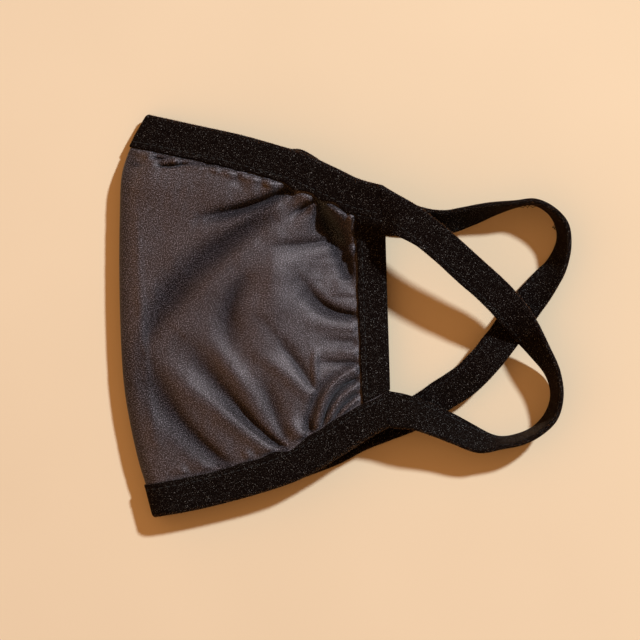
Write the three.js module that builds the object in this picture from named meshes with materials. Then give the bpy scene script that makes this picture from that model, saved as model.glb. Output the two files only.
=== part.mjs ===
// A cloth face mask folded in half along its middle, lying on its far half with its ear loops crossed.
// Two-ply stretch cloth, its top, bottom and side edges bound in folded tape, and the same tape
// carried on past the corners as two ear loops. Millimetres, +Z up. X runs from the fold to the
// loops, Y from the chin edge to the nose edge, and Z = 0 is the surface that the mask lies on.
import * as THREE from "three";

// Driving sizes of the folded mask, over its bindings.
const HALF_WIDTH = 108.6; // fold to side edge, half of the open mask
const FOLD_HEIGHT = 161.2; // nose edge to chin edge along the fold
const FOLD_RADIUS = 4.2; // how tightly the cloth turns at the fold
const FOLD_BOW = 14; // how far the ends of the fold line stand back from its middle
const SIDE_LEAN = 2.8; // the side edge leans towards the fold at its upper end

// Cloth and tape.
const PANEL_THICKNESS = 1.2;
const TAPE_THICKNESS = 1; // one leg of the folded tape
const EDGE_TAPE_WIDTH = 13; // folded width over the top and bottom edges, and of the loops
const SIDE_TAPE_WIDTH = 12;
const LOOP_THICKNESS = 2.2; // tape folded on itself, where no cloth is between its legs
const CLEARANCE = 0.3; // between two pieces that touch
const MOUTH_MARGIN = 0.8; // cloth stays flat this far past the mouth of a binding

// Relief of the cloth.
const LIFT = 10; // height that the shares of the lift table follow
const RIPPLE_RISE = 3; // height that the shares of the ripple tables follow
const RIPPLE_BREADTH = 10; // breadth that they follow
const RIPPLE_SPREAD = 0.3; // a ripple is narrower at its start and broader at its end by this share
const RIPPLE_FADE = 0.75; // and lower at its end by this share
const PRESSED_OUT = 0.15; // the surface underneath presses lower ripples of the far half out
const RELIEF_RAMP = 5; // how soon the cloth is free of a binding
const FOLD_CALM = 14; // how soon it is free of the fold
const GATHER_RISE = 0.9; // small gathers beside the side bindings
const GATHER_DEPTH = 16; // how far they run into the cloth
const GATHER_COUNT = 9;
const GATHER_UNEVENNESS = 0.03; // how far they stray from even spacing, as a share of the edge

// Ear loops.
const LOOP_REACH = 71.4; // side edge to the far end of the loops
const LOOP_RISE = 20; // height of the highest stretch of a loop
const LOOP_TURN_IN = 0.08; // share of a loop over which it takes up the angle of its corner

// How finely the cloth is divided.
const FOLD_STEPS = 4; // a quarter turn
const NEAR_STEPS = 25;
const FAR_STEPS = 11;
const ROWS = 32;
const LOOP_STEPS = 46;

const EDGE_INSET = TAPE_THICKNESS + CLEARANCE; // cut edge of the cloth inside the bound edge
const SLOT_HALF = PANEL_THICKNESS / 2 + CLEARANCE;
const BINDING_HALF = SLOT_HALF + TAPE_THICKNESS;
const FAR_LEVEL = BINDING_HALF; // middle of the far cloth where its bindings lie on the surface
const QUARTER_TURN = (FOLD_RADIUS * Math.PI) / 2;
const HALF_HEIGHT = FOLD_HEIGHT / 2;
const REACH = QUARTER_TURN + HALF_WIDTH - EDGE_INSET - FOLD_RADIUS; // along the cloth, fold to cut edge

// Bound outline at shares of the way from fold to side: heights of the edges as shares of HALF_HEIGHT.
const OUTLINE = [
  { at: 0, top: 1, bottom: -1, farTop: 1, farBottom: -1 },
  { at: 0.2, top: 0.947, bottom: -0.956, farTop: 0.946, farBottom: -0.954 },
  { at: 0.4, top: 0.899, bottom: -0.896, farTop: 0.897, farBottom: -0.894 },
  { at: 0.58, top: 0.845, bottom: -0.829, farTop: 0.842, farBottom: -0.826 },
  { at: 0.66, top: 0.813, bottom: -0.786, farTop: 0.832, farBottom: -0.797 },
  { at: 0.8, top: 0.747, bottom: -0.69, farTop: 0.738, farBottom: -0.745 },
  { at: 0.9, top: 0.694, bottom: -0.614, farTop: 0.682, farBottom: -0.685 },
  { at: 1, top: 0.645, bottom: -0.55, farTop: 0.632, farBottom: -0.63 },
];

// The fold line at shares of its height: how far it stands back, as a share of FOLD_BOW.
const FOLD_LINE = [
  { at: 0, back: 1 },
  { at: 0.07, back: 0.83 },
  { at: 0.13, back: 0.6 },
  { at: 0.21, back: 0.33 },
  { at: 0.31, back: 0.13 },
  { at: 0.42, back: 0.03 },
  { at: 0.6, back: 0 },
  { at: 0.78, back: 0.01 },
  { at: 0.86, back: 0.1 },
  { at: 0.93, back: 0.4 },
  { at: 1, back: 0.79 },
];

// Rise of the near half above the fold at its top edge, middle and bottom edge, as shares of LIFT.
const LIFT_TABLE = [
  { at: 0, top: 0, middle: 0, bottom: -0.02 },
  { at: 0.06, top: 0, middle: 0.02, bottom: -0.02 },
  { at: 0.3, top: 0.12, middle: 0.34, bottom: 0.05 },
  { at: 0.55, top: 0.3, middle: 0.5, bottom: 0.2 },
  { at: 0.8, top: 0.58, middle: 0.36, bottom: 0.34 },
  { at: 1, top: 0.8, middle: 0.18, bottom: 0.4 },
];

// Ripples of the near half: ridges and creases along a bent line through three places. Places are
// shares of HALF_WIDTH from the fold and of HALF_HEIGHT from the middle.
const NEAR_RIPPLES = [
  // under the top binding
  { x0: 0.1, y0: 0.77, x1: 0.26, y1: 0.77, x2: 0.42, y2: 0.735, breadth: 0.32, rise: 0.34 },
  { x0: 0.12, y0: 0.735, x1: 0.25, y1: 0.73, x2: 0.4, y2: 0.715, breadth: 0.26, rise: -0.4 },
  { x0: 0.61, y0: 0.655, x1: 0.5, y1: 0.6, x2: 0.36, y2: 0.57, breadth: 0.5, rise: 0.4 },
  { x0: 0.63, y0: 0.63, x1: 0.52, y1: 0.56, x2: 0.3, y2: 0.48, breadth: 0.4, rise: -0.75 },
  { x0: 0.72, y0: 0.6, x1: 0.66, y1: 0.54, x2: 0.58, y2: 0.47, breadth: 0.42, rise: 0.6 },
  { x0: 0.75, y0: 0.58, x1: 0.7, y1: 0.52, x2: 0.64, y2: 0.48, breadth: 0.3, rise: -0.6 },
  { x0: 0.84, y0: 0.53, x1: 0.8, y1: 0.44, x2: 0.7, y2: 0.38, breadth: 0.55, rise: 0.5 },
  // long soft folds that run down to the fold
  { x0: 0.56, y0: 0.47, x1: 0.3, y1: 0.3, x2: 0.08, y2: -0.14, breadth: 0.95, rise: -0.62 },
  { x0: 0.62, y0: 0.4, x1: 0.36, y1: 0.18, x2: 0.1, y2: -0.24, breadth: 1.05, rise: 0.62 },
  { x0: 0.82, y0: 0.37, x1: 0.7, y1: 0.35, x2: 0.58, y2: 0.34, breadth: 0.5, rise: -0.42 },
  { x0: 0.45, y0: 0.16, x1: 0.42, y1: 0, x2: 0.45, y2: -0.15, breadth: 0.85, rise: -0.55 },
  { x0: 0.5, y0: 0.06, x1: 0.6, y1: 0.02, x2: 0.7, y2: 0.02, breadth: 0.95, rise: 0.45 },
  // out of the middle of the side binding
  { x0: 0.88, y0: 0.1, x1: 0.79, y1: 0.12, x2: 0.71, y2: 0.17, breadth: 0.55, rise: 0.6 },
  { x0: 0.89, y0: 0.02, x1: 0.79, y1: 0.03, x2: 0.69, y2: 0.14, breadth: 0.42, rise: -0.85 },
  { x0: 0.89, y0: -0.27, x1: 0.81, y1: -0.28, x2: 0.74, y2: -0.24, breadth: 0.36, rise: -0.6 },
  // fan in the lower corner
  { x0: 0.88, y0: -0.33, x1: 0.75, y1: -0.38, x2: 0.73, y2: -0.62, breadth: 0.4, rise: 0.75 },
  { x0: 0.89, y0: -0.4, x1: 0.79, y1: -0.44, x2: 0.765, y2: -0.6, breadth: 0.28, rise: -0.7 },
  { x0: 0.89, y0: -0.47, x1: 0.84, y1: -0.5, x2: 0.8, y2: -0.57, breadth: 0.36, rise: 0.5 },
  // long folds up from the bottom binding
  { x0: 0.63, y0: -0.69, x1: 0.66, y1: -0.62, x2: 0.62, y2: -0.54, breadth: 0.55, rise: 0.55 },
  { x0: 0.62, y0: -0.77, x1: 0.47, y1: -0.56, x2: 0.28, y2: -0.17, breadth: 0.42, rise: -0.85 },
  { x0: 0.57, y0: -0.8, x1: 0.42, y1: -0.58, x2: 0.18, y2: -0.34, breadth: 0.9, rise: 0.85 },
  { x0: 0.43, y0: -0.88, x1: 0.33, y1: -0.66, x2: 0.12, y2: -0.36, breadth: 0.6, rise: -0.8 },
  { x0: 0.53, y0: -0.18, x1: 0.62, y1: -0.24, x2: 0.7, y2: -0.36, breadth: 0.85, rise: 0.6 },
];

// Ripples of the far half stand up from the surface that it lies on.
const FAR_RIPPLES = [
  { x0: 0.85, y0: 0.44, x1: 0.6, y1: 0.3, x2: 0.35, y2: 0.24, breadth: 0.85, rise: 0.4 },
  { x0: 0.87, y0: 0.02, x1: 0.7, y1: 0.03, x2: 0.52, y2: -0.02, breadth: 0.8, rise: 0.4 },
  { x0: 0.86, y0: -0.36, x1: 0.62, y1: -0.34, x2: 0.38, y2: -0.26, breadth: 0.85, rise: 0.4 },
  { x0: 0.55, y0: 0.62, x1: 0.45, y1: 0.52, x2: 0.28, y2: 0.46, breadth: 0.8, rise: 0.4 },
  { x0: 0.56, y0: -0.64, x1: 0.42, y1: -0.54, x2: 0.3, y2: -0.44, breadth: 0.8, rise: 0.4 },
];

// Middle line of an ear loop, from its upper corner to its lower corner. out and up are shares of
// LOOP_REACH past the side edge and of HALF_HEIGHT, high is a share of LOOP_RISE, and lean is how far
// the tape stands on edge, its outer edge uppermost, in degrees.
const NEAR_LOOP = [
  { out: 0.09, up: 0.487, high: 1, lean: 0 },
  { out: 0.25, up: 0.378, high: 1.01, lean: 0 },
  { out: 0.43, up: 0.229, high: 0.87, lean: 2 },
  { out: 0.6, up: 0.095, high: 0.77, lean: 2 },
  { out: 0.715, up: -0.025, high: 0.68, lean: 12 },
  { out: 0.815, up: -0.159, high: 0.56, lean: 38 },
  { out: 0.9, up: -0.283, high: 0.46, lean: 62 },
  { out: 0.922, up: -0.398, high: 0.42, lean: 66 },
  { out: 0.89, up: -0.489, high: 0.42, lean: 66 },
  { out: 0.81, up: -0.561, high: 0.41, lean: 68 },
  { out: 0.72, up: -0.606, high: 0.39, lean: 71 },
  { out: 0.62, up: -0.631, high: 0.37, lean: 70 },
  { out: 0.515, up: -0.623, high: 0.36, lean: 48 },
  { out: 0.375, up: -0.576, high: 0.46, lean: 33 },
  { out: 0.25, up: -0.527, high: 0.61, lean: 31 },
  { out: 0.11, up: -0.48, high: 0.7, lean: 16 },
];
const FAR_LOOP = [
  { out: 0.1, up: 0.525, high: 0.15, lean: 14 },
  { out: 0.2, up: 0.49, high: 0.24, lean: 32 },
  { out: 0.31, up: 0.465, high: 0.34, lean: 45 },
  { out: 0.42, up: 0.474, high: 0.38, lean: 52 },
  { out: 0.55, up: 0.502, high: 0.41, lean: 61 },
  { out: 0.69, up: 0.53, high: 0.415, lean: 74 },
  { out: 0.8, up: 0.54, high: 0.42, lean: 76 },
  { out: 0.885, up: 0.502, high: 0.41, lean: 71 },
  { out: 0.948, up: 0.44, high: 0.4, lean: 67 },
  { out: 0.966, up: 0.361, high: 0.395, lean: 64 },
  { out: 0.93, up: 0.257, high: 0.385, lean: 54 },
  { out: 0.855, up: 0.162, high: 0.36, lean: 36 },
  { out: 0.76, up: 0.053, high: 0.31, lean: 12 },
  { out: 0.65, up: -0.083, high: 0.3, lean: 2 },
  { out: 0.53, up: -0.218, high: 0.38, lean: 8 },
  { out: 0.41, up: -0.33, high: 0.3, lean: 6 },
  { out: 0.28, up: -0.415, high: 0.22, lean: 4 },
  { out: 0.13, up: -0.5, high: 0.14, lean: 2 },
];

const lerp = THREE.MathUtils.lerp;
const smoothstep = THREE.MathUtils.smoothstep;

// A table's column at a place between its rows, on a smooth curve through them, and straight past its ends.
function column(table, name, at) {
  const last = table.length - 1;
  const slope = (i, j) => (table[j][name] - table[i][name]) / (table[j].at - table[i].at);
  if (at <= table[0].at) return table[0][name] + (at - table[0].at) * slope(0, 1);
  if (at >= table[last].at) return table[last][name] + (at - table[last].at) * slope(last - 1, last);
  const k = table.findIndex((row) => row.at > at) - 1;
  const span = table[k + 1].at - table[k].at;
  const t = (at - table[k].at) / span;
  const start = slope(Math.max(k - 1, 0), k + 1) * span;
  const end = slope(k, Math.min(k + 2, last)) * span;
  const rise = table[k + 1][name] - table[k][name];
  return table[k][name] + t * (start + t * (3 * rise - 2 * start - end + t * (start + end - 2 * rise)));
}

// The cut edges of the cloth.
function cutEdge(side, far, share) {
  const name = far ? "far" + side[0].toUpperCase() + side.slice(1) : side;
  const inset = side === "top" ? -EDGE_INSET : EDGE_INSET;
  return column(OUTLINE, name, share) * HALF_HEIGHT + inset;
}

function slopeFactor(side, far, share) {
  const step = 0.02;
  const rise = cutEdge(side, far, share + step) - cutEdge(side, far, share - step);
  return Math.hypot(1, rise / (2 * step * HALF_WIDTH));
}

const foldX = (v) => column(FOLD_LINE, "back", v) * FOLD_BOW;
const sideX = (v) => HALF_WIDTH - EDGE_INSET - SIDE_LEAN * v;
const columnHeight = (far, share) => cutEdge("top", far, share) - cutEdge("bottom", far, share);

function lift(share, v) {
  const [low, middle, high] = ["bottom", "middle", "top"].map((name) => column(LIFT_TABLE, name, share));
  const bend = 2 * (low - 2 * middle + high);
  return LIFT * (low + v * (high - low - bend + bend * v));
}

// Place of the cloth's middle without ripples. q runs along the cloth from the fold, negative on the
// far half, and v from the bottom cut edge to the top one.
function calm(q, v) {
  const far = q < 0;
  const turn = Math.min(Math.abs(q) / FOLD_RADIUS, Math.PI / 2);
  const along = Math.max(0, Math.abs(q) - QUARTER_TURN) / (REACH - QUARTER_TURN);
  const run = sideX(v) - foldX(v);
  const x = foldX(v) + FOLD_RADIUS * (1 - Math.cos(turn)) + along * (run - FOLD_RADIUS);
  const share = (x - foldX(v)) / run;
  const y = lerp(cutEdge("bottom", far, share), cutEdge("top", far, share), v);
  const z = FAR_LEVEL + FOLD_RADIUS * (1 + (far ? -1 : 1) * Math.sin(turn)) + (far ? 0 : lift(share, v));
  return { point: new THREE.Vector3(x, y, z), share, far };
}

// How far a place is from the three bound edges, along the cloth.
function edgeDistances(q, v) {
  const { share, far } = calm(q, v);
  const height = columnHeight(far, share);
  return {
    bottom: (v * height) / slopeFactor("bottom", far, share),
    top: ((1 - v) * height) / slopeFactor("top", far, share),
    side: REACH - Math.abs(q),
    fold: Math.abs(q) - QUARTER_TURN,
  };
}

// 0 inside the bindings and at the fold, 1 where the cloth is free.
function freedom(q, v) {
  const d = edgeDistances(q, v);
  const edgeMouth = EDGE_TAPE_WIDTH - EDGE_INSET + MOUTH_MARGIN;
  const sideMouth = SIDE_TAPE_WIDTH - EDGE_INSET + MOUTH_MARGIN;
  const edges = smoothstep(Math.min(d.bottom, d.top), edgeMouth, edgeMouth + RELIEF_RAMP);
  const side = smoothstep(d.side, sideMouth, sideMouth + RELIEF_RAMP);
  return { bound: edges * side, fold: smoothstep(d.fold, 0, FOLD_CALM) };
}

// A ripple is a bell-shaped ridge or crease along a bent line, fading towards its end.
function ripple(row, x, y) {
  const spine = new THREE.QuadraticBezierCurve(
    new THREE.Vector2(row.x0 * HALF_WIDTH, row.y0 * HALF_HEIGHT),
    new THREE.Vector2(row.x1 * HALF_WIDTH, row.y1 * HALF_HEIGHT),
    new THREE.Vector2(row.x2 * HALF_WIDTH, row.y2 * HALF_HEIGHT),
  );
  const steps = 16;
  let nearest = Infinity;
  let along = 0;
  for (let i = 0; i <= steps; i++) {
    const p = spine.getPoint(i / steps);
    const distance = Math.hypot(x - p.x, y - p.y);
    if (distance < nearest) [nearest, along] = [distance, i / steps];
  }
  const fade = 1 - RIPPLE_FADE * along * along;
  const breadth = row.breadth * RIPPLE_BREADTH * (1 + RIPPLE_SPREAD * (2 * along - 1));
  return row.rise * RIPPLE_RISE * fade * Math.exp(-((nearest / breadth) ** 2));
}

// Small gathers stand beside the side bindings.
function gathers(q, v) {
  const { side } = edgeDistances(q, v);
  const decay = Math.exp(-Math.max(0, side - SIDE_TAPE_WIDTH) / GATHER_DEPTH);
  const stray = GATHER_UNEVENNESS * Math.sin(GATHER_COUNT * v);
  return GATHER_RISE * decay * Math.sin(2 * Math.PI * GATHER_COUNT * (v + stray));
}

// Place of the cloth's middle with its ripples. The far half is pressed flat between them.
function cloth(q, v) {
  const { point, far } = calm(q, v);
  const { bound, fold } = freedom(q, v);
  const rows = far ? FAR_RIPPLES : NEAR_RIPPLES;
  const ripples = rows.reduce((sum, row) => sum + ripple(row, point.x, point.y), 0);
  if (far) point.z += bound * fold * (Math.max(0, ripples - PRESSED_OUT) - FAR_LEVEL + PANEL_THICKNESS / 2);
  else point.z += bound * fold * (ripples + gathers(q, v));
  return point;
}

function normalOf(place, q, v) {
  const step = 0.6;
  const rise = step / FOLD_HEIGHT;
  const alongCloth = place(q + step, v).sub(place(q - step, v));
  const upCloth = place(q, v + rise).sub(place(q, v - rise));
  return alongCloth.cross(upCloth).normalize();
}

const calmPoint = (q, v) => calm(q, v).point;

// A closed body of rings, the same count of places in each: a skin from ring to ring, and the caps'
// triangles over its first and last ring. Where the rings run the other way round, it is mirrored.
function ringBody(rings, caps, mirrored) {
  const count = rings[0].length;
  const end = (rings.length - 1) * count;
  const triangles = caps.flatMap(([a, b, c]) => [[a, b, c], [end + a, end + c, end + b]]);
  for (let i = 0; i < end; i += count) {
    for (let j = 0; j < count; j++) {
      const k = (j + 1) % count;
      triangles.push([i + j, i + count + j, i + k], [i + k, i + count + j, i + count + k]);
    }
  }
  const geometry = new THREE.BufferGeometry();
  const position = rings.flat().flatMap((p) => [p.x, p.y, p.z]);
  geometry.setAttribute("position", new THREE.Float32BufferAttribute(position, 3));
  geometry.setIndex(triangles.flatMap(([a, b, c]) => (mirrored ? [a, c, b] : [a, b, c])));
  geometry.computeVertexNormals();
  return geometry;
}

// A bar of one outline, given as [across, off] pairs.
function bar(rings, outline, mirrored) {
  const caps = THREE.ShapeUtils.triangulateShape(outline.map(([d, n]) => new THREE.Vector2(d, n)), []);
  return ringBody(rings, caps, mirrored);
}

// Stations along the cloth, from the far side edge over the fold to the near one: two steps under
// each side binding, even steps over the open cloth, and even turns round the fold.
function stations() {
  const under = SIDE_TAPE_WIDTH - EDGE_INSET + MOUTH_MARGIN;
  const open = REACH - under - QUARTER_TURN;
  const half = (steps) => [
    ...Array.from({ length: FOLD_STEPS }, (_, i) => (QUARTER_TURN * (i + 1)) / FOLD_STEPS),
    ...Array.from({ length: steps }, (_, i) => QUARTER_TURN + (open * (i + 1)) / steps),
    REACH - under / 2,
    REACH,
  ];
  return [...half(FAR_STEPS).reverse().map((q) => -q), 0, ...half(NEAR_STEPS)];
}

// Rows of one station: two steps under each edge binding, and even steps between them.
function rowHeight(q, row) {
  const { share, far } = calm(q, 0.5);
  const height = columnHeight(far, share);
  const under = EDGE_TAPE_WIDTH - EDGE_INSET + MOUTH_MARGIN;
  const low = (under * slopeFactor("bottom", far, share)) / height;
  const high = 1 - (under * slopeFactor("top", far, share)) / height;
  if (row <= 2) return (low * row) / 2;
  if (row >= ROWS - 2) return 1 - ((1 - high) * (ROWS - row)) / 2;
  return lerp(low, high, (row - 2) / (ROWS - 4));
}

// The cloth: a sheet along its outer face and one along its inner face, joined round their rim.
function facePanel() {
  const columns = stations();
  const face = (offset) => columns.map((q) =>
    Array.from({ length: ROWS + 1 }, (_, row) => {
      const v = rowHeight(q, row);
      return cloth(q, v).addScaledVector(normalOf(cloth, q, v), offset);
    }));
  const outer = face(PANEL_THICKNESS / 2);
  const inner = face(-PANEL_THICKNESS / 2);
  const rings = outer.map((line, i) => [...line, ...inner[i].reverse()]);
  const caps = Array.from({ length: ROWS }, (_, a) => {
    const c = 2 * ROWS + 1 - a;
    return [[a, a + 1, c], [a + 1, c - 1, c]];
  });
  return ringBody(rings, caps.flat(), false);
}

// Outline of a binding: [distance in from the cut edge, height off the cloth's middle].
function bindingOutline(width) {
  const mouth = width - EDGE_INSET;
  const bendSteps = 4;
  const bend = Array.from({ length: bendSteps + 1 }, (_, i) => {
    const angle = Math.PI * (0.5 - i / bendSteps);
    return [BINDING_HALF - EDGE_INSET - BINDING_HALF * Math.cos(angle), BINDING_HALF * Math.sin(angle)];
  });
  return [
    [mouth, BINDING_HALF],
    ...bend,
    [mouth, -BINDING_HALF],
    [mouth, -SLOT_HALF],
    [-CLEARANCE, -SLOT_HALF],
    [-CLEARANCE, SLOT_HALF],
    [mouth, SLOT_HALF],
  ];
}

function onCalm(q, v, offset) {
  return calmPoint(q, v).addScaledVector(normalOf(calmPoint, q, v), offset);
}

// A place on the edge binding's section at a station: d in from the top or bottom cut edge.
function acrossEdge(side, q, d, offset) {
  const { share, far } = calm(q, side === "top" ? 1 : 0);
  const v = (d * slopeFactor(side, far, share)) / columnHeight(far, share);
  return onCalm(q, side === "top" ? 1 - v : v, offset);
}

function edgeBinding(side) {
  const outline = bindingOutline(EDGE_TAPE_WIDTH);
  const rings = stations().map((q) => outline.map(([d, n]) => acrossEdge(side, q, d, n)));
  return bar(rings, outline, side === "bottom");
}

function sideBinding(far) {
  const outline = bindingOutline(SIDE_TAPE_WIDTH);
  const sign = far ? -1 : 1;
  const rings = [];
  for (let row = 2; row <= ROWS - 2; row++) {
    rings.push(outline.map(([d, n]) => {
      const q = sign * (REACH - d);
      return onCalm(q, rowHeight(q, row), n);
    }));
  }
  return bar(rings, outline, !far);
}

// Where a loop leaves its corner: the middle and half width of the binding's end there.
function corner(side, far) {
  const q = (far ? -1 : 1) * (REACH + 2 * CLEARANCE);
  const outer = acrossEdge(side, q, -EDGE_INSET, 0);
  const inner = acrossEdge(side, q, EDGE_TAPE_WIDTH - EDGE_INSET, 0);
  return { middle: outer.clone().lerp(inner, 0.5), half: outer.sub(inner).multiplyScalar(0.5) };
}

function earLoop(table, far) {
  const upper = corner("top", far);
  const lower = corner("bottom", far);
  const route = new THREE.CatmullRomCurve3([
    upper.middle,
    ...table.map((row) => new THREE.Vector3(
      HALF_WIDTH + row.out * LOOP_REACH, row.up * HALF_HEIGHT, row.high * LOOP_RISE)),
    lower.middle,
  ], false, "centripetal");
  const leans = [0, ...table.map((row) => row.lean), 0];
  const [w, t] = [EDGE_TAPE_WIDTH / 2, LOOP_THICKNESS / 2];
  const c = t / 2;
  const outline = [
    [w, c], [w - c, t], [c - w, t], [-w, c], [-w, -c], [c - w, -t], [w - c, -t], [w, -c],
  ];
  const rings = Array.from({ length: LOOP_STEPS + 1 }, (_, i) => {
    const share = route.getUtoTmapping(i / LOOP_STEPS);
    const middle = route.getPoint(share);
    const ahead = route.getTangent(share);
    const place = share * (leans.length - 1);
    const k = Math.min(Math.floor(place), leans.length - 2);
    const lean = THREE.MathUtils.degToRad(lerp(leans[k], leans[k + 1], smoothstep(place - k, 0, 1)));
    const outward = new THREE.Vector3(-ahead.y, ahead.x, 0).normalize();
    const across = outward.multiplyScalar(Math.cos(lean)).add(new THREE.Vector3(0, 0, Math.sin(lean)));
    const start = 1 - smoothstep(i / LOOP_STEPS, 0, LOOP_TURN_IN);
    const finish = smoothstep(i / LOOP_STEPS, 1 - LOOP_TURN_IN, 1);
    across.lerp(upper.half.clone().divideScalar(w), start);
    across.lerp(lower.half.clone().divideScalar(w), finish);
    const face = across.clone().cross(ahead).normalize().negate();
    return outline.map(([a, n]) => middle.clone().addScaledVector(across, a).addScaledVector(face, n));
  });
  return bar(rings, outline, true);
}

const clothFinish = new THREE.MeshStandardMaterial({ color: 0x3a3638, roughness: 0.62, metalness: 0 });
const tapeFinish = new THREE.MeshStandardMaterial({ color: 0x0d0b0b, roughness: 0.95, metalness: 0 });

const pieces = {
  face_panel: [facePanel(), clothFinish],
  top_binding: [edgeBinding("top"), tapeFinish],
  bottom_binding: [edgeBinding("bottom"), tapeFinish],
  near_side_binding: [sideBinding(false), tapeFinish],
  far_side_binding: [sideBinding(true), tapeFinish],
  near_ear_loop: [earLoop(NEAR_LOOP, false), tapeFinish],
  far_ear_loop: [earLoop(FAR_LOOP, true), tapeFinish],
};

const mask = new THREE.Group();
for (const [name, [geometry, material]] of Object.entries(pieces)) {
  const mesh = new THREE.Mesh(geometry, material);
  mesh.name = name;
  mask.add(mesh);
}

// The origin is under the middle of the mask, on the surface that it lies on.
const box = new THREE.Box3().setFromObject(mask);
mask.position.set(-(box.min.x + box.max.x) / 2, -(box.min.y + box.max.y) / 2, -box.min.z);

export default mask;
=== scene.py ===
"""A folded cloth face mask lying on a pale floor, seen from straight above.

The cloth, the tape bindings, the ear loops and their stitches are grid surfaces worked out
with numpy on the frame's own form: a sheet turned over at the mask's centre line. Lengths are
in millimetres until a mesh is made. Places run from the fold (x = 0) to the ear edge and from
the middle of the height (y = 0) up to the nose edge.
"""

import bpy
import numpy as np
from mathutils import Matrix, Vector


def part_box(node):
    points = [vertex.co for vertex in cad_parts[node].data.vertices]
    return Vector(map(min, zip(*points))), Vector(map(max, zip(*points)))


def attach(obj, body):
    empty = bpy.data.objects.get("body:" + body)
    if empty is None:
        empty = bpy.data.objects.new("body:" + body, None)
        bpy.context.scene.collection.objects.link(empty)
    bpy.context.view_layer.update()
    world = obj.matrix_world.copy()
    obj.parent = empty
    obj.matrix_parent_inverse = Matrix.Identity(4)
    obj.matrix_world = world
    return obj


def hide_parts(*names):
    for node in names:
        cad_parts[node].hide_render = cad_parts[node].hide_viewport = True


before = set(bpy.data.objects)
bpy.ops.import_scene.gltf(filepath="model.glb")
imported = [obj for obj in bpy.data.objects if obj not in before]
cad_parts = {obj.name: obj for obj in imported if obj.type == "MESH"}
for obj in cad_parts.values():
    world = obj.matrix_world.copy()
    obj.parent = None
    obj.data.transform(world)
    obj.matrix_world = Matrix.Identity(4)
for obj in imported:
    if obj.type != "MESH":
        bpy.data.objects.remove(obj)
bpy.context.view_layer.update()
MM = 0.001

# Driving sizes, the same as the frame's.
HALF_WIDTH = 108.6
FOLD_HEIGHT = 161.2
FOLD_RADIUS = 4.2
FOLD_BOW = 14
SIDE_LEAN = 2.8
CLOTH_THICKNESS = 1.2
TAPE_THICKNESS = 1
EDGE_TAPE_WIDTH = 13
SIDE_TAPE_WIDTH = 12
LOOP_THICKNESS = 2.2
CLEARANCE = 0.3
LIFT = 10
LOOP_REACH = 71.4
LOOP_RISE = 20
LOOP_TURN_IN = 0.08
# Length up the ear edge by which the side tapes' dimples and maps are spaced.
SIDE_RUN = 118

# The near half hangs this low under the raised end of the top binding, and comes back up between
# these distances from its edge.
SAG = 6.2
SAG_RETURN = (28, 96)
# Its crest beside the fold line is pressed down, and the fold's upper end is pressed flatter.
CREST_DROP = 1.9
CREST_BREADTH = 4.6
TOP_PRESS = 0.5
# Height of the puffs that the gathered seam pushes up against the top binding's lip.
PUFF = 1.25
# Share of the folds' listed heights in use, and the heights of two uneven fields on the cloth.
FOLD_SHARE = 0.85
SOFT_WAVES = 0.16
SMALL_WAVES = 0.05
# The folded tape is pressed thinner where it turns round the fold line, over this breadth.
FOLD_SQUEEZE = 0.3
SQUEEZE_BREADTH = 7
# Lowest height of the near half's open cloth, just over the far half.
FLOOR_OF_NEAR = 4.4
# The near loop's tape is spread wider where it leaves the upper corner, over this length.
CORNER_SPREAD = 0.8
CORNER_LENGTH = 12

# Fineness of the meshes: largest distance between grid lines, and how many lines there are.
NEAR_STEP = 0.62
FAR_STEP = 1.9
TAPE_STEP = 0.6
ROW_COUNT = 200
SIDE_STATIONS = 150
LOOP_STATIONS = 360

# Thread, and how deep it presses into the tape.
STITCH_PITCH = 2.9
STITCH_LENGTH = 2.1
THREAD_RADIUS = 0.22
STITCH_INSET = 2.1
THREAD_SINK = 0.1
DIMPLE_DEPTH = 0.14
DIMPLE_BREADTH = 0.8

# Nap fibres: shortest and longest, radius at the foot, how deep the foot is set into the tape, and
# how near the floor a fibre may come.
FIBRE_LENGTHS = (0.2, 0.62)
FIBRE_RADIUS = 0.035
FIBRE_SINK = 0.1
FIBRE_FLOOR = 0.05

# Loose threads: radius, and for each its start and end as shares of the far loop's length and how
# far its middle stands out.
CURL_RADIUS = 0.11
CURLS = [
    (0.306, 0.318, 0.6), (0.316, 0.327, 1), (0.325, 0.341, 0.7), (0.404, 0.413, 1.2), (0.41, 0.42, 0.7),
]

# Threads are bars of six sides: the turn of each corner.
BAR_TURN = np.linspace(0, 2 * np.pi, 6, endpoint=False)

EDGE_INSET = TAPE_THICKNESS + CLEARANCE
SLOT_HALF = CLOTH_THICKNESS / 2 + CLEARANCE
BINDING_HALF = SLOT_HALF + TAPE_THICKNESS
FAR_LEVEL = BINDING_HALF
QUARTER_TURN = FOLD_RADIUS * np.pi / 2
HALF_HEIGHT = FOLD_HEIGHT / 2
REACH = QUARTER_TURN + HALF_WIDTH - EDGE_INSET - FOLD_RADIUS
EDGE_MOUTH = EDGE_TAPE_WIDTH - EDGE_INSET
SIDE_MOUTH = SIDE_TAPE_WIDTH - EDGE_INSET

# Bound outline at shares of the way from fold to side edge, as shares of HALF_HEIGHT.
OUTLINE = {
    "at": [0, 0.2, 0.4, 0.58, 0.66, 0.8, 0.9, 1],
    "top": [1, 0.947, 0.8935, 0.834, 0.804, 0.73, 0.674, 0.641],
    "bottom": [-1, -0.956, -0.896, -0.829, -0.786, -0.69, -0.614, -0.55],
    "far_top": [1, 0.946, 0.892, 0.833, 0.827, 0.724, 0.667, 0.628],
    "far_bottom": [-1, -0.954, -0.894, -0.826, -0.797, -0.733, -0.671, -0.626],
}

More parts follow.
